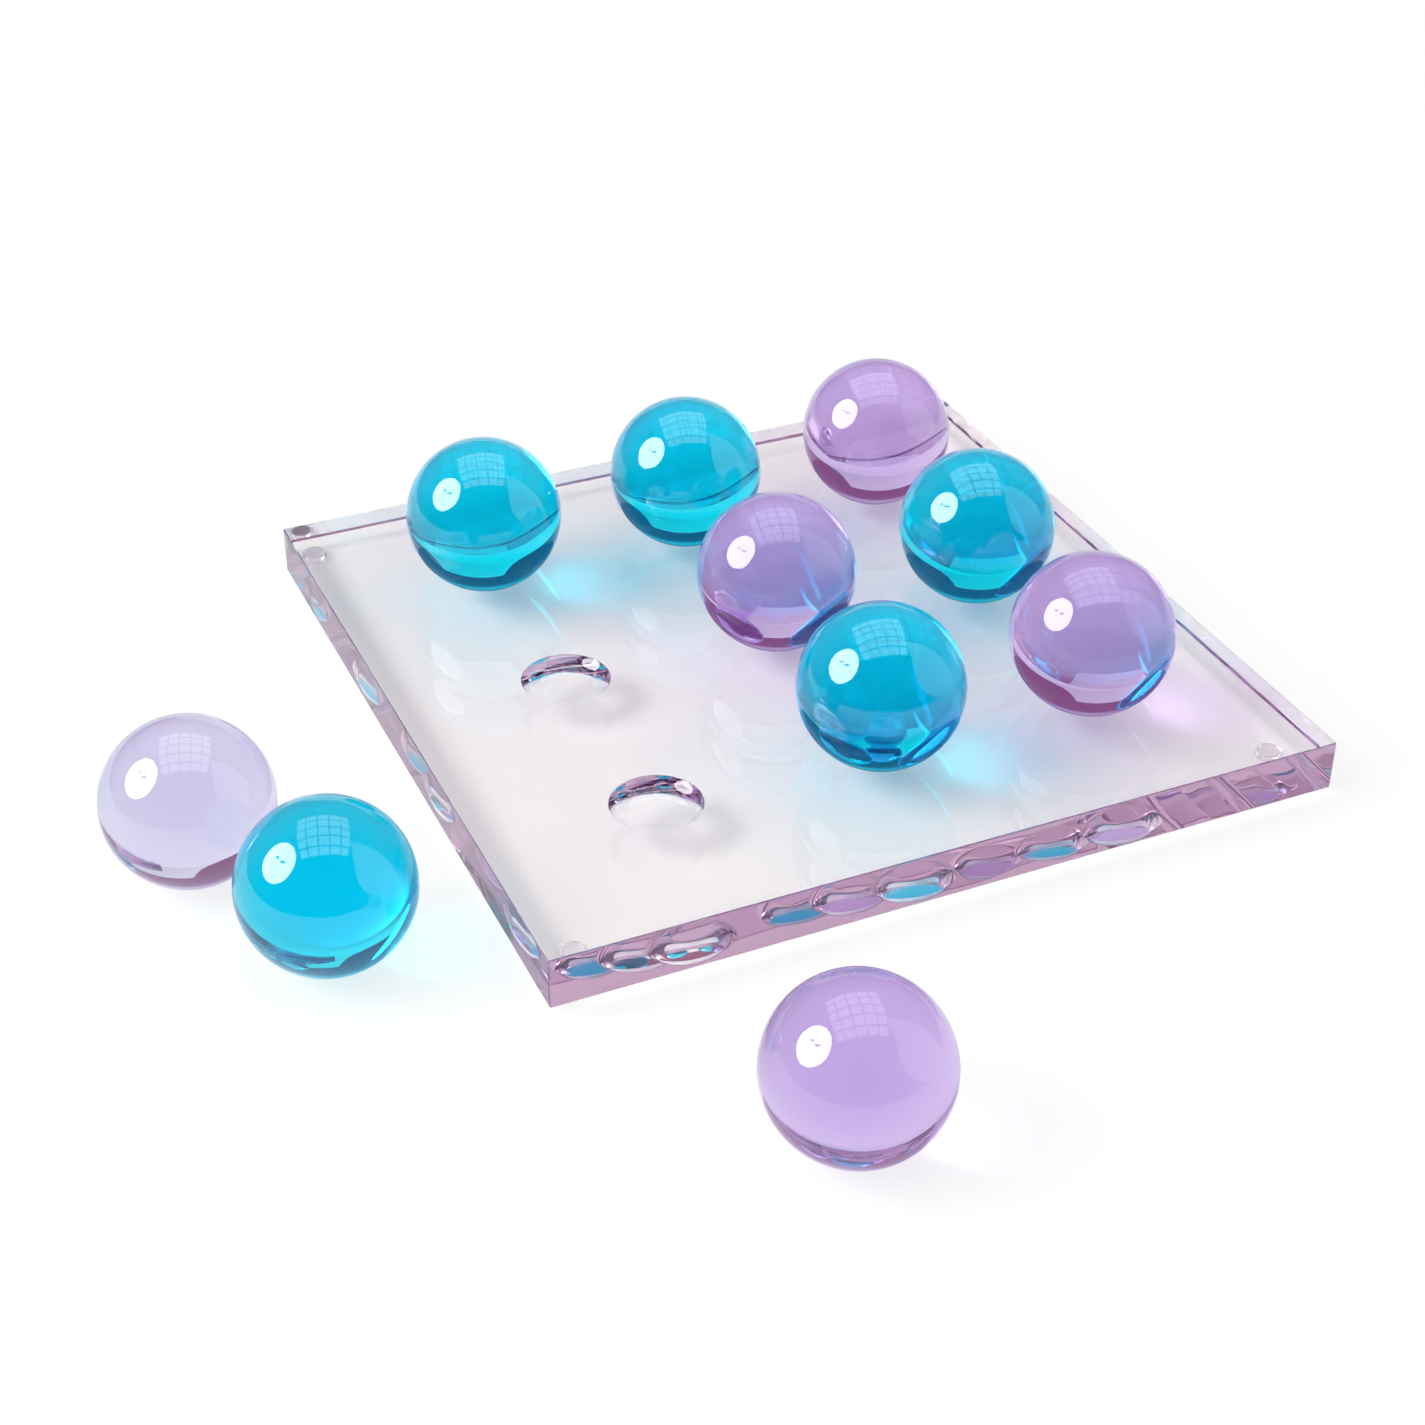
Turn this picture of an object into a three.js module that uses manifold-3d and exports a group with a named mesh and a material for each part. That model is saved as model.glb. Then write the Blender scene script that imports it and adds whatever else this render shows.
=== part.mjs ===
// A tic tac toe set in clear acrylic: a square board with nine shallow cups, five teal and five violet
// solid balls, and four stick-on bumper feet under the board. Seven balls sit in the cups and three lie
// on the table beside the board.
//
// Millimetres, +Z up, columns along +X and rows along +Y. The origin is the middle of the footprint of
// the whole set, on the table that it stands on.
import * as THREE from 'three';
import { mergeVertices } from 'three/addons/utils/BufferGeometryUtils.js';
import Module from 'manifold-3d';

// Board: a square plate with a fine polished bevel along every edge
const BOARD_SIZE = 200;
const BOARD_THICKNESS = 13;
const EDGE_BEVEL = 0.4;

// Balls
const BALL_DIAMETER = 40;

// Cups: round bowls with a flat floor and a wide corner arc that runs up to the rim. A ball stands on the
// floor of its cup and the rim keeps it there; in a deep enough cup it would hang on the rim instead.
const CUP_PITCH = 57;
const CUP_DIAMETER = 22.4;
const CUP_DEPTH = 3.2;
const CUP_CORNER_RADIUS = 6.4;
const SEAT_CLEARANCE = 0.05; // between a ball and what it stands on in its cup

// Feet: round moulded bumpers, each on a thin clear adhesive disc
const FOOT_DIAMETER = 6.4;
const FOOT_FLAT = 4; // diameter of the flat face that meets the table
const FOOT_THICKNESS = 1.8;
const FOOT_RIM = 0.4; // height of the straight side next to the adhesive
const ADHESIVE_THICKNESS = 0.2;
const ADHESIVE_MARGIN = 0.3; // how far the adhesive stays inside the foot's rim

// The feet are stuck on by hand, so each has its own distance from the two edges that it is next to
const FEET = [
  { corner: 'front_left', x: -1, y: -1, inset: 9 },
  { corner: 'front_right', x: 1, y: -1, inset: 11 },
  { corner: 'back_left', x: -1, y: 1, inset: 6.5 },
  { corner: 'back_right', x: 1, y: 1, inset: 9 },
];

// Balls in play, by column and row counted from the middle cup
const SEATED_BALLS = [
  { name: 'ball_teal_1', colour: 'teal', column: -1, row: 1 },
  { name: 'ball_teal_2', colour: 'teal', column: 0, row: 1 },
  { name: 'ball_teal_3', colour: 'teal', column: 1, row: 0 },
  { name: 'ball_teal_4', colour: 'teal', column: 0, row: -1 },
  { name: 'ball_violet_1', colour: 'violet', column: 1, row: 1 },
  { name: 'ball_violet_2', colour: 'violet', column: 0, row: 0 },
  { name: 'ball_violet_3', colour: 'violet', column: 1, row: -1 },
];

// Balls on the table: two left of the board, close together, and one in front of it
const LEFT_BALL_GAP = 16.5; // from the board's left edge to the nearer of the pair
const LEFT_BALL_Y = -62.5; // of that ball, from the board's middle
const PAIR_GAP = 6.8; // between the two balls of the pair
const PAIR_DIRECTION = THREE.MathUtils.degToRad(114.6); // from the nearer ball to the farther, about +Z
const FRONT_BALL_GAP = 41; // from the board's front edge to the ball in front
const FRONT_BALL_X = -58; // of that ball, from the board's middle

// How finely the round surfaces are faceted. Multiples of four keep the balls' true width and height.
const BALL_SEGMENTS = 32;
const BALL_RINGS = 16;
const CUP_SEGMENTS = 32;
const CUP_RINGS = 6;
const FOOT_SEGMENTS = 24;
const FOOT_CURVE_STEPS = 3;
const CUP_OVERCUT = 1; // how far the cutter of a cup stands out above the board

const FINISHES = {
  board: { color: 0xe6dcf2, roughness: 0.05, metalness: 0, transparent: true, opacity: 0.45 },
  teal: { color: 0x10a5c2, roughness: 0.04, metalness: 0, transparent: true, opacity: 0.8 },
  violet: { color: 0xa987d8, roughness: 0.04, metalness: 0, transparent: true, opacity: 0.75 },
  foot: { color: 0xeef0f2, roughness: 0.3, metalness: 0, transparent: true, opacity: 0.6 },
  adhesive: { color: 0xf2f2ee, roughness: 0.5, metalness: 0, transparent: true, opacity: 0.5 },
};

const BALL_RADIUS = BALL_DIAMETER / 2;
const CUP_RADIUS = CUP_DIAMETER / 2;
const BOARD_UNDERSIDE = FOOT_THICKNESS + ADHESIVE_THICKNESS;
const BOARD_TOP = BOARD_UNDERSIDE + BOARD_THICKNESS;
const ON_FLOOR = BALL_RADIUS - CUP_DEPTH;
const ON_RIM = Math.sqrt(BALL_RADIUS ** 2 - CUP_RADIUS ** 2);
const SEATED_HEIGHT = BOARD_TOP + Math.max(ON_FLOOR, ON_RIM) + SEAT_CLEARANCE;

const manifold = await Module();
manifold.setup();

/** Turns a closed geometry into a solid that can be cut. */
function solidOf(geometry) {
  const bare = geometry.clone();
  bare.deleteAttribute('normal');
  bare.deleteAttribute('uv');
  const merged = mergeVertices(bare);
  return new manifold.Manifold(new manifold.Mesh({
    numProp: 3,
    vertProperties: merged.attributes.position.array,
    triVerts: Uint32Array.from(merged.index.array),
  }));
}

/** Turns a solid back into a geometry. */
function geometryOf(solid) {
  const { vertProperties, triVerts } = solid.getMesh();
  const geometry = new THREE.BufferGeometry();
  geometry.setAttribute('position', new THREE.BufferAttribute(vertProperties, 3));
  geometry.setIndex(new THREE.BufferAttribute(triVerts, 1));
  geometry.computeVertexNormals();
  return geometry;
}

/** Revolves a profile of (radius, height) points about the Z axis. */
function revolve(points, segments) {
  const profile = points.map(([radius, height]) => new THREE.Vector2(radius, height));
  return new THREE.LatheGeometry(profile, segments).rotateX(Math.PI / 2);
}

/** The plate before its cups are cut, with its underside at z = 0. */
function plate() {
  const half = BOARD_SIZE / 2;
  const side = half - EDGE_BEVEL;
  const outline = new THREE.Shape();
  outline.moveTo(-side, -half);
  outline.lineTo(side, -half);
  outline.lineTo(half, -side);
  outline.lineTo(half, side);
  outline.lineTo(side, half);
  outline.lineTo(-side, half);
  outline.lineTo(-half, side);
  outline.lineTo(-half, -side);
  outline.closePath();
  const geometry = new THREE.ExtrudeGeometry(outline, {
    depth: BOARD_THICKNESS - 2 * EDGE_BEVEL,
    bevelThickness: EDGE_BEVEL,
    bevelSize: EDGE_BEVEL,
    bevelOffset: -EDGE_BEVEL,
    bevelSegments: 1,
  });
  return geometry.translate(0, 0, EDGE_BEVEL);
}

/** What a bowl cutter removes for one cup, with the plate's top face at z = 0. */
function cupCutter() {
  const q = CUP_CORNER_RADIUS;
  const floorRadius = CUP_RADIUS - Math.sqrt(q ** 2 - (q - CUP_DEPTH) ** 2);
  const top = Math.acos((q - CUP_DEPTH - CUP_OVERCUT) / q);
  const points = [[0, -CUP_DEPTH]];
  for (let i = 0; i <= CUP_RINGS; i++) {
    const angle = (top * i) / CUP_RINGS;
    points.push([floorRadius + q * Math.sin(angle), q * (1 - Math.cos(angle)) - CUP_DEPTH]);
  }
  points.push([0, CUP_OVERCUT]);
  return revolve(points, CUP_SEGMENTS);
}

function boardGeometry() {
  let board = solidOf(plate());
  for (const row of [-1, 0, 1]) {
    for (const column of [-1, 0, 1]) {
      const cutter = cupCutter().translate(column * CUP_PITCH, row * CUP_PITCH, BOARD_THICKNESS);
      board = board.subtract(solidOf(cutter));
    }
  }
  return geometryOf(board);
}

/** A bumper foot standing on its flat face at z = 0: a rounded side that ends in a short straight rim. */
function footGeometry() {
  const radius = FOOT_DIAMETER / 2;
  const flat = FOOT_FLAT / 2;
  const curve = FOOT_THICKNESS - FOOT_RIM;
  const points = [[0, 0]];
  for (let i = 0; i <= FOOT_CURVE_STEPS; i++) {
    const angle = (Math.PI / 2) * (i / FOOT_CURVE_STEPS);
    points.push([flat + (radius - flat) * Math.sin(angle), curve * (1 - Math.cos(angle))]);
  }
  points.push([radius, FOOT_THICKNESS], [0, FOOT_THICKNESS]);
  return revolve(points, FOOT_SEGMENTS);
}

function adhesiveGeometry() {
  const radius = FOOT_DIAMETER / 2 - ADHESIVE_MARGIN;
  return revolve(
    [[0, 0], [radius, 0], [radius, ADHESIVE_THICKNESS], [0, ADHESIVE_THICKNESS]],
    FOOT_SEGMENTS,
  );
}

function ballGeometry() {
  return new THREE.SphereGeometry(BALL_RADIUS, BALL_SEGMENTS, BALL_RINGS).rotateX(Math.PI / 2);
}

function addPiece(group, name, geometry, finish, x, y, z) {
  const piece = new THREE.Mesh(geometry, new THREE.MeshStandardMaterial(FINISHES[finish]));
  piece.name = name;
  piece.position.set(x, y, z);
  group.add(piece);
}

const set = new THREE.Group();

addPiece(set, 'board', boardGeometry(), 'board', 0, 0, BOARD_UNDERSIDE);

for (const { corner, x, y, inset } of FEET) {
  const footX = x * (BOARD_SIZE / 2 - inset);
  const footY = y * (BOARD_SIZE / 2 - inset);
  addPiece(set, `foot_${corner}`, footGeometry(), 'foot', footX, footY, 0);
  addPiece(set, `foot_adhesive_${corner}`, adhesiveGeometry(), 'adhesive', footX, footY, FOOT_THICKNESS);
}

for (const { name, colour, column, row } of SEATED_BALLS) {
  addPiece(set, name, ballGeometry(), colour, column * CUP_PITCH, row * CUP_PITCH, SEATED_HEIGHT);
}

const nearBall = { x: -BOARD_SIZE / 2 - LEFT_BALL_GAP - BALL_RADIUS, y: LEFT_BALL_Y };
const farBall = {
  x: nearBall.x + (BALL_DIAMETER + PAIR_GAP) * Math.cos(PAIR_DIRECTION),
  y: nearBall.y + (BALL_DIAMETER + PAIR_GAP) * Math.sin(PAIR_DIRECTION),
};
const frontBall = { x: FRONT_BALL_X, y: -BOARD_SIZE / 2 - FRONT_BALL_GAP - BALL_RADIUS };
addPiece(set, 'ball_teal_5', ballGeometry(), 'teal', nearBall.x, nearBall.y, BALL_RADIUS);
addPiece(set, 'ball_violet_4', ballGeometry(), 'violet', farBall.x, farBall.y, BALL_RADIUS);
addPiece(set, 'ball_violet_5', ballGeometry(), 'violet', frontBall.x, frontBall.y, BALL_RADIUS);

// The set was laid out round the board's middle, and moves so that its footprint's middle is the origin.
const footprint = new THREE.Box3().setFromObject(set).getCenter(new THREE.Vector3());
set.position.set(-footprint.x, -footprint.y, 0);

export default set;
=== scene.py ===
"""A tic tac toe set in clear acrylic: a cupped square board on bumper feet, and ten solid balls."""
import math

import bmesh
import bpy
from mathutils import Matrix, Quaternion, Vector


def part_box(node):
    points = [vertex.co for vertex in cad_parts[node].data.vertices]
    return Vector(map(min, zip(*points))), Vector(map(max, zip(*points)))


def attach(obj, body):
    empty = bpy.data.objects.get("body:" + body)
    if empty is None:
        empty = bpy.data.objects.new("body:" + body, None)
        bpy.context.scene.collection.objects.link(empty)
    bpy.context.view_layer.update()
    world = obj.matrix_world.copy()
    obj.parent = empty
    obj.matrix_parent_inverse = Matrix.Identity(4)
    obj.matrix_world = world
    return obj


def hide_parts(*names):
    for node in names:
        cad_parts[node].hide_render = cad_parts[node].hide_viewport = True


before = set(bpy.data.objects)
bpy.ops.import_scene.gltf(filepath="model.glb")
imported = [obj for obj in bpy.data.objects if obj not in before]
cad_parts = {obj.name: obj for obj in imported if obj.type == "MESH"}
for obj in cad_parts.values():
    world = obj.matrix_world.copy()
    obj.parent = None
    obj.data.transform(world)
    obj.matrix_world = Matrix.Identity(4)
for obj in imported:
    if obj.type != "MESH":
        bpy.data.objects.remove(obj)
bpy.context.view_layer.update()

MM = 0.001
ACRYLIC_IOR = 1.49
EVEN_GAP = 0.012 * MM  # between the board, an adhesive, a foot and the paper, so that no faces coincide
SHARP_EDGE = math.radians(40)

# Balls
BALL_GRID = 40  # squares along each side of the six patches that cover a ball
PALE_BALL = "ball_violet_4"  # a shade lighter than the other four

# Board
BEVEL = 0.4 * MM
BEVEL_STEPS = 3
ROLL = 3.0 * MM  # polishing has rolled the foot of the back and right sides over a little
ROLL_TILT = math.radians(20)
CUP_PITCH = 57 * MM
CUP_RADIUS = 11.2 * MM
CUP_DEPTH = 3.2 * MM
CUP_CORNER = 6.4 * MM  # radius of the arc between a cup's floor and its wall
RIM_ROUND = 0.25 * MM  # the polished edge of a cup
CUP_SEGMENTS = 96
CORNER_STEPS = 16
RIM_STEPS = 5
CUTTER_ABOVE = 3 * MM

# Feet
FOOT_SEGMENTS = 64
FOOT_STEPS = 14
FOOT_SOLE = 2.0 * MM  # radius of the flat that a foot stands on
FOOT_RIM = 0.35 * MM  # height of the upright rim above its dome
FOOT_EDGE = 0.08 * MM
ADHESIVE_EDGE = 0.05 * MM

# The paper that the set stands on
FLOOR_WHITE = (0.8, 0.8, 0.8, 1)
FLOOR_GLOW = 1.04
FLOOR_CLEAN = 0.68  # the glow's share in what the camera sees directly
PAINTED_DARK_MIRROR = 0.85  # painted dark reflection: how much of a mirror image of the paper is darkened, where the paper is nearer than this:
PAINTED_DARK_MIRROR_REACH = 3.3 * MM
SHEET_AXIS = 24  # the paper runs straight away from the camera
SHEET_WIDTH = 1.0
SHEET_NEAR, SHEET_FAR = -0.9, 1.1
SHEET_RISE = ((0.72, 0), (0.56, 0.03), (0.47, 0.08), (0.42, 0.16), (0.38, 0.26))  # half width at each height
TABLE_REACH = 8.0
TABLE_DROP = 0.5 * MM

# The room round it
DARK_ROOM = (0.012, 0.012, 0.014)  # round the camera, mirrored
ROOM_THROUGH = (0.42, 0.36, 0.54)  # and as the clear pieces show it
BACK_ROOM = (0.33, 0.12, 0.22)  # beyond the sheet
CEILING = (0.85, 0.78, 0.85)
FILL = (0.94, 0.98, 0.92)  # lights the paper from above
LOW_FILL = (0.45, 0.45, 0.45)  # and from the sides

# Lights, in metres, degrees as direction() takes them, and radiance
SOFTBOX_AIM = (-79.5, 37.0)
SOFTBOX_RADIUS = 0.83
SOFTBOX_DISTANCE = 2.16
SOFTBOX_COLOUR = (0.985, 1, 0.94)
KEY = 5.7
KEY_MIRRORED = 16.0
CLIPS = ((-0.25, 0.07, 0.15), (0.16, 0.2, 0.25))  # across and up from the middle, and length, all in radii
CLIP_THICKNESS = 0.075
CLIP_SLOPE = 0.8
WINDOW_AZIMUTH = 15
WINDOW_HEIGHT = 2.5
WINDOW_GLOW = 2.6
WINDOW_ROWS = ((-0.75, -0.25), (-0.15, 0.38), (0.48, 1.02), (1.12, 1.68), (1.78, 2.35))
WINDOW_COLUMNS = ((-1.3, -0.86), (-0.8, -0.3), (-0.24, 0.24), (0.3, 0.8), (0.86, 1.3))
REFLECTOR_AZIMUTH = 97
REFLECTOR_BULGE = 55
REFLECTOR_LOW, REFLECTOR_HIGH = -10, 62
REFLECTOR_DISTANCE = 2
REFLECTOR_GLOW = 1.3

# Camera
LENS = 63.82  # for a sensor 36 mm wide
CAMERA_AZIMUTH, CAMERA_ELEVATION, CAMERA_ROLL = -24.12, 33.89, 0.14
CAMERA_DISTANCE = 635.7 * MM
CAMERA_AIM = Vector((-21.0, -7.9, 0)) * MM  # from the board's middle

board_low, board_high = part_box("board")
BOARD_MIDDLE = (board_low + board_high) / 2
FLOOR = Vector((BOARD_MIDDLE.x, BOARD_MIDDLE.y, -EVEN_GAP))

BALLS = sorted(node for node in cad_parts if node.startswith("ball_"))
ADHESIVES = sorted(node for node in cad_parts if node.startswith("foot_adhesive_"))
FEET = sorted(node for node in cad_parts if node.startswith("foot_") and node not in ADHESIVES)


def direction(azimuth, elevation):
    """A unit vector; azimuth turns from +Y towards +X, in degrees."""
    a, e = math.radians(azimuth), math.radians(elevation)
    return Vector((math.sin(a) * math.cos(e), math.cos(a) * math.cos(e), math.sin(e)))


# ---------------------------------------------------------------- meshes


def new_object(name, mesh, location=(0, 0, 0)):
    piece = bpy.data.objects.new(name, mesh)
    piece.location = location
    bpy.context.scene.collection.objects.link(piece)
    return piece


def mesh_from(name, bm, smooth=True):
    mesh = bpy.data.meshes.new(name)
    bm.to_mesh(mesh)
    bm.free()
    mesh.polygons.foreach_set("use_smooth", [smooth] * len(mesh.polygons))
    return mesh


def flat_mesh(name, corners):
    bm = bmesh.new()
    bm.faces.new([bm.verts.new(corner) for corner in corners])
    return mesh_from(name, bm, smooth=False)


def revolved(name, profile, segments):
    """A closed solid from a profile of (radius, height) points that starts and ends on the axis."""
    bm = bmesh.new()
    turn = [2 * math.pi * i / segments for i in range(segments)]
    rings = []
    for radius, height in profile:
        if radius == 0:
            rings.append([bm.verts.new((0, 0, height))])
        else:
            rings.append([bm.verts.new((radius * math.cos(a), radius * math.sin(a), height)) for a in turn])
    for below, above in zip(rings, rings[1:]):
        for i in range(segments):
            j = (i + 1) % segments
            if len(below) == 1:
                bm.faces.new((below[0], above[j], above[i]))
            elif len(above) == 1:
                bm.faces.new((below[i], below[j], above[0]))
            else:
                bm.faces.new((below[i], below[j], above[j], above[i]))
    bmesh.ops.recalc_face_normals(bm, faces=bm.faces)
    return mesh_from(name, bm)


def ball_mesh(radius):
    """A ball covered by six even square grids, so that no poles show."""
    bm = bmesh.new()
    bmesh.ops.create_cube(bm, size=2)
    bmesh.ops.subdivide_edges(bm, edges=bm.edges, cuts=BALL_GRID - 1, use_grid_fill=True)
    for vert in bm.verts:
        spread = Vector(math.tan(c * math.pi / 4) for c in vert.co)
        vert.co = spread.normalized() * radius
    return mesh_from("ball", bm)


# ---------------------------------------------------------------- shader nodes


def node(tree, kind, **values):
    """A shader node with some of its inputs set."""
    made = tree.nodes.new(kind)
    for name, value in values.items():
        made.inputs[name].default_value = value
    return made


def calculate(tree, operation, first, second=0.0):
    """A sum, product or test of two things, each a number or another node's output."""
    made = tree.nodes.new("ShaderNodeMath")
    made.operation = operation
    for socket, value in zip(made.inputs, (first, second)):
        if isinstance(value, float):
            socket.default_value = value
        else:
            tree.links.new(value, socket)
    return made.outputs[0]


def when(tree, value, operation, limit, amount):
    """An amount where a value passes a test, and nothing elsewhere."""
    return calculate(tree, "MULTIPLY", calculate(tree, operation, value, limit), amount)


def ramp(tree, value, low, high, top=1.0):
    """Rises from nothing to its top as a value goes from low to high."""
    made = node(tree, "ShaderNodeMapRange", **{"From Min": low, "From Max": high, "To Max": top})
    tree.links.new(value, made.inputs["Value"])
    return made.outputs["Result"]


def mixed(tree, share, first, second=None):
    """A share of the second shader, or of black, over the first."""
    mix = tree.nodes.new("ShaderNodeMixShader")
    tree.links.new(share, mix.inputs[0])
    tree.links.new(first, mix.inputs[1])
    if second is not None:
        tree.links.new(second, mix.inputs[2])
    return mix.outputs[0]


def bumped(tree, height, strength, distance, before=None):
    """A surface direction tilted by a height, on top of an earlier one; strength is a number or an output."""
    bump = node(tree, "ShaderNodeBump", Distance=distance)
    tree.links.new(height, bump.inputs["Height"])
    if isinstance(strength, float):
        bump.inputs["Strength"].default_value = strength
    else:
        tree.links.new(strength, bump.inputs["Strength"])
    if before is not None:
        tree.links.new(before, bump.inputs["Normal"])
    return bump.outputs["Normal"]


# ---------------------------------------------------------------- materials


def clear_material(name, tint, density, roughness=0.0, ior=ACRYLIC_IOR, wave=1.0, edge_wave=0.0):
    """Clear plastic that colours light along its way through, with a faint ripple and a trace of haze."""
    material = bpy.data.materials.new(name)
    material.use_nodes = True
    tree = material.node_tree
    shader = tree.nodes["Principled BSDF"]
    shader.inputs["Transmission Weight"].default_value = 1.0
    shader.inputs["Roughness"].default_value = roughness
    shader.inputs["IOR"].default_value = ior
    place = tree.nodes.new("ShaderNodeTexCoord").outputs["Object"]
    # moulded surfaces are never quite even: a slow ripple far below what a finger can feel
    ripple = node(tree, "ShaderNodeTexNoise", Scale=55.0, Detail=2.0, Roughness=0.4)
    tree.links.new(place, ripple.inputs["Vector"])
    surface = bumped(tree, ripple.outputs["Fac"], 0.02 * wave, 0.2 * MM)
    if edge_wave:
        # the sawn and polished sides are less even than the cast faces
        stretch = node(tree, "ShaderNodeMapping", Scale=(1, 1, 1.6))
        tree.links.new(place, stretch.inputs["Vector"])
        polish = node(tree, "ShaderNodeTexNoise", Scale=32.0, Detail=1.0, Roughness=0.4)
        tree.links.new(stretch.outputs["Vector"], polish.inputs["Vector"])
        skin = tree.nodes.new("ShaderNodeNewGeometry")
        split = tree.nodes.new("ShaderNodeSeparateXYZ")
        tree.links.new(skin.outputs["True Normal"], split.inputs[0])
        on_side = ramp(tree, calculate(tree, "ABSOLUTE", split.outputs["Z"]), 0.1, 0.0, edge_wave)
        surface = bumped(tree, polish.outputs["Fac"], on_side, 1 * MM, surface)
    tree.links.new(surface, shader.inputs["Normal"])
    # a trace of haze in the colour, as cast plastic has
    haze = node(tree, "ShaderNodeTexNoise", Scale=18.0, Detail=3.0)
    tree.links.new(place, haze.inputs["Vector"])
    shades = tree.nodes.new("ShaderNodeValToRGB")
    shades.color_ramp.elements[0].color = (0.985, 0.985, 0.99, 1)
    shades.color_ramp.elements[1].color = (1, 1, 1, 1)
    tree.links.new(haze.outputs["Fac"], shades.inputs["Fac"])
    tree.links.new(shades.outputs["Color"], shader.inputs["Base Color"])
    volume = node(tree, "ShaderNodeVolumeAbsorption", Color=(*tint, 1), Density=density)
    tree.links.new(volume.outputs["Volume"], tree.nodes["Material Output"].inputs["Volume"])
    return material


def emission_material(name, colour, strength):
    """A plain glow, which lights nothing but the mirror images that show it."""
    material = bpy.data.materials.new(name)
    material.use_nodes = True
    tree = material.node_tree
    tree.nodes.remove(tree.nodes["Principled BSDF"])
    glow = node(tree, "ShaderNodeEmission", Color=(*colour, 1), Strength=strength)
    tree.links.new(glow.outputs["Emission"], tree.nodes["Material Output"].inputs["Surface"])
    material.cycles.emission_sampling = "NONE"
    return material


def floor_material():
    """White paper; what the camera sees of it directly is mostly a clean white, with faint shadows, and its
    mirror images from close by are painted darker.
    """
    material = bpy.data.materials.new("pale_floor")
    material.use_nodes = True
    tree = material.node_tree
    shader = tree.nodes["Principled BSDF"]
    shader.inputs["Base Color"].default_value = FLOOR_WHITE
    shader.inputs["Roughness"].default_value = 0.9
    shader.inputs["Specular IOR Level"].default_value = 0.0
    clean = node(tree, "ShaderNodeEmission", Strength=FLOOR_GLOW)
    path = tree.nodes.new("ShaderNodeLightPath").outputs
    share = calculate(tree, "MULTIPLY", path["Is Camera Ray"], FLOOR_CLEAN)
    seen = mixed(tree, share, shader.outputs["BSDF"], clean.outputs["Emission"])
    # painted dark reflection: the paper is drawn darker in its mirror images taken from close by, as at the
    # foot of a ball
    mirrored = when(tree, path["Ray Length"], "LESS_THAN", PAINTED_DARK_MIRROR_REACH, PAINTED_DARK_MIRROR)
    mirrored = when(tree, path["Glossy Depth"], "GREATER_THAN", 0.5, mirrored)
    mirrored = when(tree, path["Glossy Depth"], "LESS_THAN", 1.5, mirrored)
    mirrored = when(tree, path["Diffuse Depth"], "LESS_THAN", 0.5, mirrored)
    tree.links.new(mixed(tree, mirrored, seen), tree.nodes["Material Output"].inputs["Surface"])
    material.cycles.emission_sampling = "NONE"
    return material


# Light is absorbed at a rate of the density times one minus the tint
TEAL = clear_material("teal_acrylic", (0.02, 0.939, 0.986), 170.0)
VIOLET = clear_material("violet_acrylic", (0.42, 0.04, 0.81), 21.5)
PALE_VIOLET = clear_material("violet_acrylic_pale", (0.24, 0.1, 0.7), 15.0)
BOARD = clear_material("board_acrylic", (0.45, 0.02, 0.41), 4.7, edge_wave=0.4)
FOOT = clear_material("foot_polyurethane", (0.4, 0.7, 0.9), 6.0, roughness=0.05, ior=1.5, wave=3.0)
ADHESIVE = clear_material("foot_adhesive", (0.9, 0.8, 0.5), 20.0, roughness=0.08, ior=1.47, wave=8.0)
PAPER = floor_material()


# ---------------------------------------------------------------- pieces


def stand_in(piece, name, body, material):
    """Lets a clear piece stand for a CAD node and move with its body."""
    if not piece.data.materials:
        piece.data.materials.append(material)
    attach(piece, body)
    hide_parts(name)


def make_balls():
    low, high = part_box(BALLS[0])
    radius = (high.z - low.z) / 2
    meshes = {}
    for name in BALLS:
        colour = name.split("_")[1]
        material = TEAL if colour == "teal" else PALE_VIOLET if name == PALE_BALL else VIOLET
        if material.name not in meshes:
            meshes[material.name] = ball_mesh(radius)
        low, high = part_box(name)
        piece = new_object(f"{name}_clear", meshes[material.name], (low + high) / 2)
        stand_in(piece, name, name, material)


def cup_curve():
    """Points from the middle of a cup's floor to its rim: (radius, height, tilt of the skin)."""
    spread = CUP_CORNER + RIM_ROUND
    lean = math.acos((CUP_CORNER - CUP_DEPTH + RIM_ROUND) / spread)
    floor = CUP_RADIUS - spread * math.sin(lean)
    curve = [(0.0, -CUP_DEPTH, 0.0)]
    for i in range(CORNER_STEPS + 1):
        angle = lean * i / CORNER_STEPS
        height = CUP_CORNER * (1 - math.cos(angle)) - CUP_DEPTH
        curve.append((floor + CUP_CORNER * math.sin(angle), height, -angle))
    for i in range(1, RIM_STEPS + 1):
        angle = lean * (1 - i / RIM_STEPS)
        curve.append((CUP_RADIUS - RIM_ROUND * math.sin(angle), RIM_ROUND * (math.cos(angle) - 1), -angle))
    return curve


CUP_CURVE = cup_curve()


def board_normal(point):
    """The exact outward direction of the board's skin at a point on it, measured from the board's middle."""
    half = (board_high - board_low) / 2
    column, row = (max(-1, min(1, round(c / CUP_PITCH))) for c in (point.x, point.y))
    across = Vector((point.x - column * CUP_PITCH, point.y - row * CUP_PITCH, 0))
    height = point.z - half.z
    if across.length < CUP_RADIUS + 0.01 * MM and -CUP_DEPTH * 1.01 < height < -1e-8:
        lean = min(CUP_CURVE, key=lambda c: abs(c[0] - across.length) + abs(c[1] - height))[2]
        return across.normalized() * math.sin(lean) + Vector((0, 0, math.cos(lean)))
    core = Vector(max(BEVEL - h, min(h - BEVEL, c)) for c, h in zip(point, half))
    out = (point - core).normalized()
    outward = Vector((out.x, out.y, 0))
    back_or_right = outward.x + outward.y > 0.1
    if not back_or_right or out.z > 1e-3:
        return out
    above = max(0, point.z + half.z - BEVEL)
    roll = ROLL_TILT * max(0, 1 - above / ROLL)
    down = roll + math.asin(min(1, -out.z)) * (1 - roll / (math.pi / 2))
    return outward.normalized() * math.cos(down) - Vector((0, 0, math.sin(down)))


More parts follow.
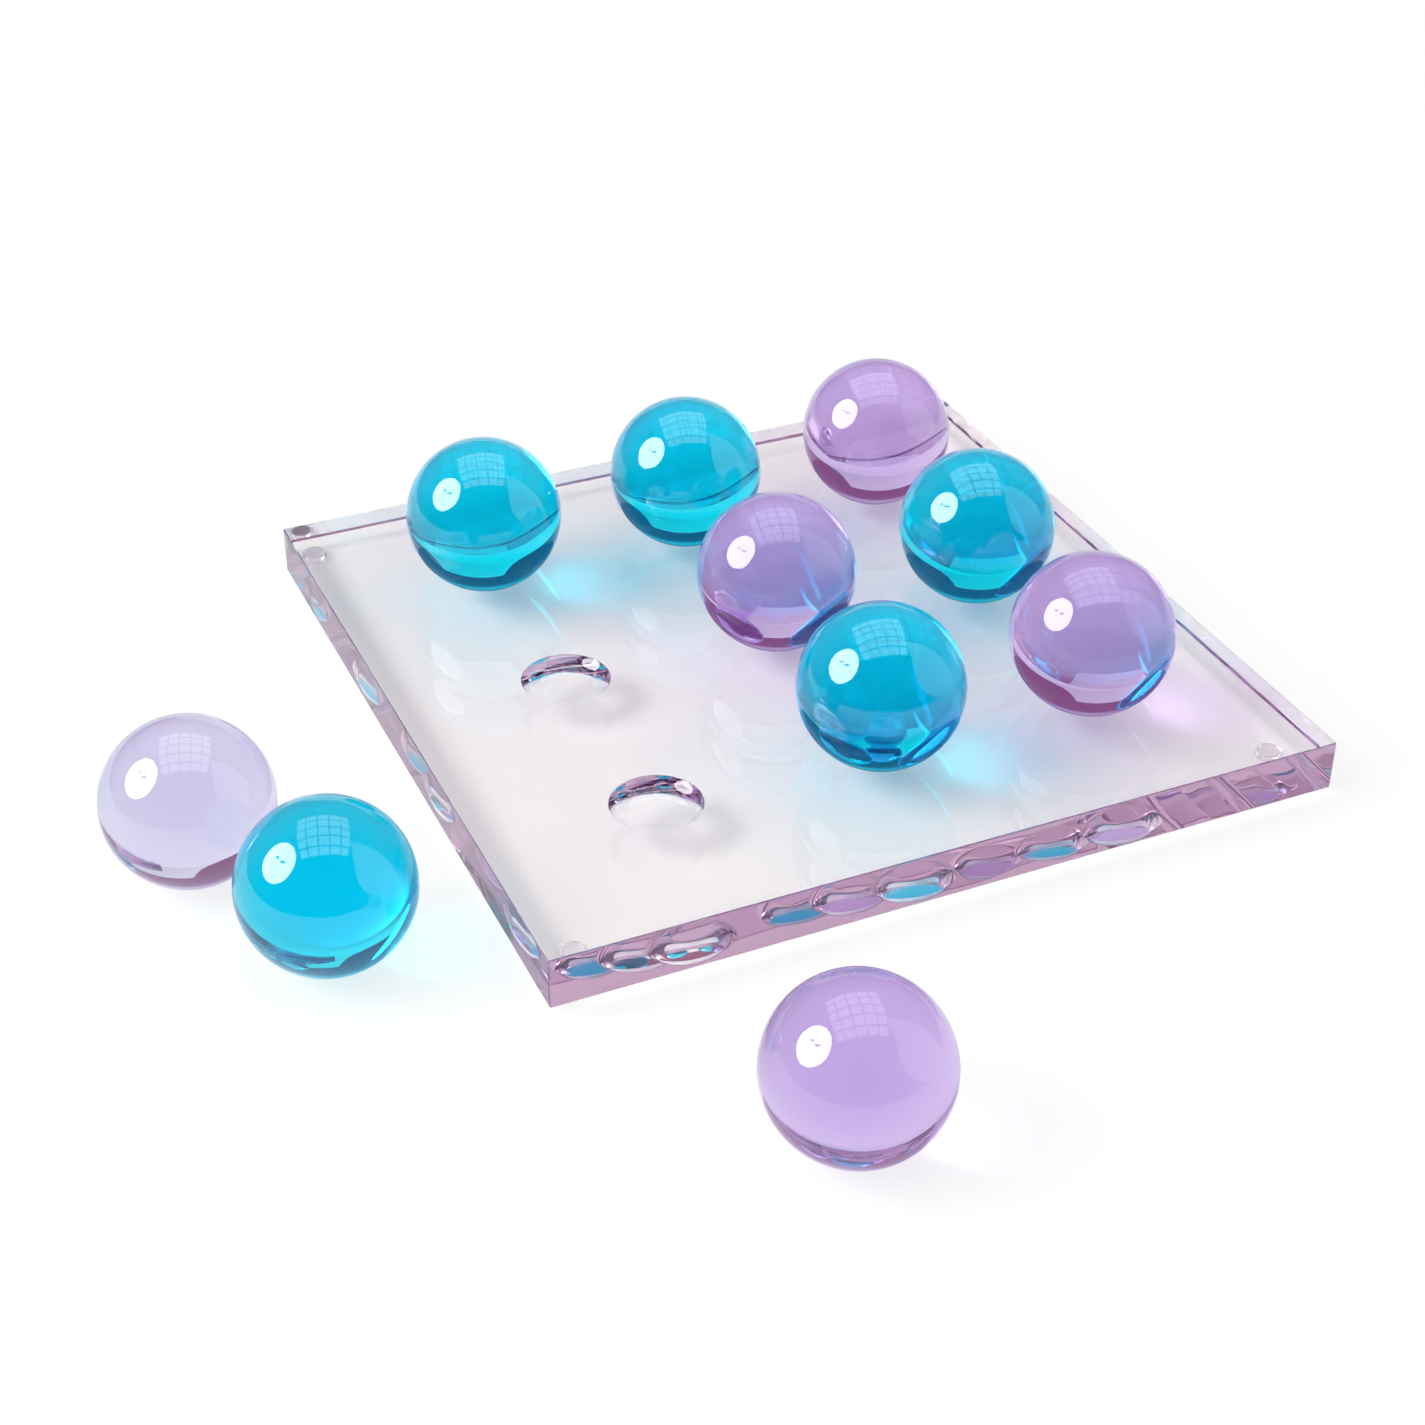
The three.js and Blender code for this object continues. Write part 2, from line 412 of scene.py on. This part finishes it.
def plate_mesh():
    """The plate before its cups are cut, with a loop of edges where the rolled foot of its sides ends."""
    size = board_high - board_low
    bm = bmesh.new()
    bmesh.ops.create_cube(bm, size=1)
    for vert in bm.verts:
        vert.co = Vector(a * b for a, b in zip(vert.co, size))
    bmesh.ops.bevel(bm, geom=bm.edges, offset=BEVEL, segments=BEVEL_STEPS, profile=0.5, affect="EDGES")
    bmesh.ops.bisect_plane(bm, geom=[*bm.verts, *bm.edges, *bm.faces],
                           plane_co=(0, 0, BEVEL + ROLL - size.z / 2), plane_no=(0, 0, 1))
    return mesh_from("board", bm)


def make_board():
    plate = new_object("board_clear", plate_mesh(), BOARD_MIDDLE)
    outline = [(radius, height) for radius, height, lean in CUP_CURVE]
    cutter_mesh = revolved("cup", [*outline, (CUP_RADIUS, CUTTER_ABOVE), (0, CUTTER_ABOVE)], CUP_SEGMENTS)
    cutters = []
    for column in (-1, 0, 1):
        for row in (-1, 0, 1):
            place = (BOARD_MIDDLE.x + column * CUP_PITCH, BOARD_MIDDLE.y + row * CUP_PITCH, board_high.z)
            cutters.append(new_object("cutter", cutter_mesh, place))
            cut = plate.modifiers.new("cup", "BOOLEAN")
            cut.object = cutters[-1]
            cut.operation = "DIFFERENCE"
            cut.solver = "EXACT"
    bpy.context.view_layer.update()
    cut_mesh = bpy.data.meshes.new_from_object(plate.evaluated_get(bpy.context.evaluated_depsgraph_get()))
    plate.modifiers.clear()
    plate.data = cut_mesh
    for cutter in cutters:
        bpy.data.objects.remove(cutter)
    cut_mesh.polygons.foreach_set("use_smooth", [True] * len(cut_mesh.polygons))
    cut_mesh.normals_split_custom_set_from_vertices([board_normal(vert.co) for vert in cut_mesh.vertices])
    cut_mesh.materials.clear()
    stand_in(plate, "board", "board", BOARD)


def foot_profile(radius, height):
    """A dome upside down: a flat sole, a quarter of an ellipse and an upright rim."""
    curve = height - FOOT_RIM
    profile = [(0, 0)]
    for i in range(FOOT_STEPS + 1):
        angle = math.pi / 2 * i / FOOT_STEPS
        profile.append((FOOT_SOLE + (radius - FOOT_SOLE) * math.sin(angle), curve * (1 - math.cos(angle))))
    return [*profile, (radius, height - FOOT_EDGE), (radius - FOOT_EDGE, height), (0, height)]


def adhesive_profile(radius, height):
    """A thin disc with eased edges."""
    inner, top = radius - ADHESIVE_EDGE, height - ADHESIVE_EDGE
    return [(0, 0), (inner, 0), (radius, ADHESIVE_EDGE), (radius, top), (inner, height), (0, height)]


def make_discs(names, profile, material):
    """Round pieces under the board, each from its CAD node's box, a hair lower than that at the top."""
    for name in names:
        low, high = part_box(name)
        mesh = revolved(name, profile((high.x - low.x) / 2, high.z - low.z - EVEN_GAP), FOOT_SEGMENTS)
        mesh.set_sharp_from_angle(angle=SHARP_EDGE)
        middle = (low + high) / 2
        stand_in(new_object(f"{name}_clear", mesh, (middle.x, middle.y, low.z)), name, "board", material)


# ---------------------------------------------------------------- studio


def card(name, corners, material, through=True):
    """A flat lit card, from corners given from the board's middle. It lights no diffuse surface."""
    piece = new_object(name, flat_mesh(name, [FLOOR + corner for corner in corners]))
    piece.data.materials.append(material)
    piece.visible_camera = False
    piece.visible_diffuse = False
    piece.visible_transmission = through
    piece.visible_shadow = False


def paper(name, corners):
    """A flat piece of the white sheet, from corners given across it, along it and above the table."""
    along, across = direction(SHEET_AXIS, 0), direction(SHEET_AXIS + 90, 0)
    points = [across * x + along * y + Vector((0, 0, z)) for x, y, z in corners]
    piece = new_object(name, flat_mesh(name, points), FLOOR)
    piece.data.materials.append(PAPER)
    return piece


def make_floor():
    """A white sheet that rises behind the set, and a table all round it that is as white."""
    half, wide = SHEET_WIDTH / 2, SHEET_RISE[0][0]
    paper("sheet", [(-half, SHEET_NEAR, 0), (half, SHEET_NEAR, 0), (wide, SHEET_FAR, 0), (-wide, SHEET_FAR, 0)])
    left = [(-x, SHEET_FAR, height) for x, height in SHEET_RISE]
    right = [(x, SHEET_FAR, height) for x, height in SHEET_RISE]
    paper("sheet_up", [*right, *reversed(left)]).visible_camera = False
    table_corners = ((-1, -1), (1, -1), (1, 1), (-1, 1))
    table = paper("table", [(x * TABLE_REACH, y * TABLE_REACH, -TABLE_DROP) for x, y in table_corners])
    table.visible_glossy = False
    table.visible_transmission = False


def make_world():
    """A dark studio with white beyond the sheet, and an even light for whatever the paper throws back."""
    world = bpy.data.worlds.new("studio")
    world.use_nodes = True
    bpy.context.scene.world = world
    world.cycles.sampling_method = "NONE"
    tree = world.node_tree
    tree.nodes.clear()
    path = tree.nodes.new("ShaderNodeLightPath").outputs
    place = tree.nodes.new("ShaderNodeTexCoord").outputs["Generated"]
    towards = tree.nodes.new("ShaderNodeVectorMath")
    towards.operation = "DOT_PRODUCT"
    towards.inputs[1].default_value = direction(SHEET_AXIS, 0)
    tree.links.new(place, towards.inputs[0])
    split = tree.nodes.new("ShaderNodeSeparateXYZ")
    tree.links.new(place, split.inputs[0])
    height = split.outputs["Z"]
    through = path["Is Transmission Ray"]
    after_paper = calculate(tree, "GREATER_THAN", path["Diffuse Depth"], 0.5)
    switches = [
        (through, ROOM_THROUGH),
        (ramp(tree, towards.outputs["Value"], -0.1, 0.5), BACK_ROOM),
        (calculate(tree, "MULTIPLY", ramp(tree, height, 0.5, 0.6), through), CEILING),
        (after_paper, LOW_FILL),
        (calculate(tree, "MULTIPLY", ramp(tree, height, 0.3, 0.6), after_paper), FILL),
        (path["Is Camera Ray"], (1, 1, 1)),
    ]
    shader = node(tree, "ShaderNodeBackground", Color=(*DARK_ROOM, 1)).outputs[0]
    for test, colour in switches:
        shader = mixed(tree, test, shader, node(tree, "ShaderNodeBackground", Color=(*colour, 1)).outputs[0])
    out = tree.nodes.new("ShaderNodeOutputWorld")
    tree.links.new(shader, out.inputs["Surface"])


def make_softbox():
    """A round softbox on the left, which balls mirror with the two clips that hold its cloth."""
    aim = direction(*SOFTBOX_AIM)
    softbox = bpy.data.lights.new("softbox", "AREA")
    softbox.shape = "DISK"
    softbox.size = 2 * SOFTBOX_RADIUS
    softbox.energy = KEY * math.pi * math.pi * SOFTBOX_RADIUS**2
    softbox.color = SOFTBOX_COLOUR
    lamp = new_object("softbox", softbox, FLOOR + aim * SOFTBOX_DISTANCE)
    lamp.rotation_mode = "QUATERNION"
    lamp.rotation_quaternion = aim.to_track_quat("Z", "Y")
    lamp.visible_camera = False
    lamp.visible_glossy = False

    bm = bmesh.new()
    bmesh.ops.create_circle(bm, cap_ends=True, segments=64, radius=SOFTBOX_RADIUS)
    face = new_object("softbox_face", mesh_from("softbox_face", bm, smooth=False), lamp.location)
    face.rotation_mode = "QUATERNION"
    face.rotation_quaternion = (-aim).to_track_quat("Z", "Y")
    face.data.materials.append(emission_material("softbox_face", (1, 0.99, 0.98), KEY_MIRRORED))
    face.visible_camera = False
    face.visible_diffuse = False
    face.visible_transmission = False
    face.visible_shadow = False

    up = Vector((0, 0, 1)).cross(aim).cross(aim).normalized() * -SOFTBOX_RADIUS
    side = up.cross(aim)
    clip = emission_material("softbox_clip", (0.03, 0.03, 0.04), 1.0)
    for x, y, length in CLIPS:
        along = (side + up * CLIP_SLOPE).normalized() * SOFTBOX_RADIUS * length
        across = along.cross(aim).normalized() * SOFTBOX_RADIUS * CLIP_THICKNESS
        middle = aim * (SOFTBOX_DISTANCE - 0.01) + side * x + up * y
        corners = [middle - along, middle - across, middle + along, middle + across]
        card("softbox_clip", corners, clip, through=False)


def make_window():
    """A skylight: rows of panes between dark bars."""
    pane = emission_material("window", (0.95, 0.98, 1.0), WINDOW_GLOW)
    deep, wide = direction(WINDOW_AZIMUTH, 0), direction(WINDOW_AZIMUTH + 90, 0)
    for near, far in WINDOW_ROWS:
        for left, right in WINDOW_COLUMNS:
            outline = ((left, near), (right, near), (right, far), (left, far))
            corners = [deep * y + wide * x + Vector((0, 0, WINDOW_HEIGHT)) for x, y in outline]
            card("window", corners, pane, through=False)


def make_reflector():
    """A half-round white reflector on the right: a straight edge, and a bulge away from it."""
    glow = emission_material("reflector", (1, 1, 1), REFLECTOR_GLOW)
    half = (REFLECTOR_HIGH - REFLECTOR_LOW) / 2
    outline = [(REFLECTOR_AZIMUTH, REFLECTOR_LOW), (REFLECTOR_AZIMUTH, REFLECTOR_HIGH)]
    for degrees in range(15, 180, 15):
        turn = math.radians(degrees)
        azimuth = REFLECTOR_AZIMUTH + REFLECTOR_BULGE * math.sin(turn)
        outline.append((azimuth, REFLECTOR_LOW + half * (1 + math.cos(turn))))
    card("reflector", [direction(*point) * REFLECTOR_DISTANCE for point in outline], glow)


def make_camera():
    data = bpy.data.cameras.new("camera")
    data.sensor_width = 36.0
    data.lens = LENS
    data.clip_end = 50
    back = direction(180 - CAMERA_AZIMUTH, CAMERA_ELEVATION)
    camera = new_object("camera", data, FLOOR + CAMERA_AIM + back * CAMERA_DISTANCE)
    camera.rotation_mode = "QUATERNION"
    camera.rotation_quaternion = Quaternion(back, math.radians(CAMERA_ROLL)) @ (-back).to_track_quat("-Z", "Y")
    bpy.context.scene.camera = camera


def set_light_paths():
    """Clear pieces need long light paths, and light that is gathered through them without blurring."""
    scene = bpy.context.scene
    scene.view_settings.view_transform = "Standard"
    scene.cycles.use_denoising = True
    scene.cycles.max_bounces = 32
    scene.cycles.glossy_bounces = 32
    scene.cycles.transmission_bounces = 32
    scene.cycles.diffuse_bounces = 3
    scene.cycles.volume_bounces = 0
    scene.cycles.sample_clamp_indirect = 0.0
    scene.cycles.caustics_refractive = True
    scene.cycles.caustics_reflective = True
    scene.cycles.blur_glossy = 0.0


make_camera()
make_floor()
make_world()
make_softbox()
make_window()
make_reflector()
make_board()
make_balls()
make_discs(FEET, foot_profile, FOOT)
make_discs(ADHESIVES, adhesive_profile, ADHESIVE)
set_light_paths()
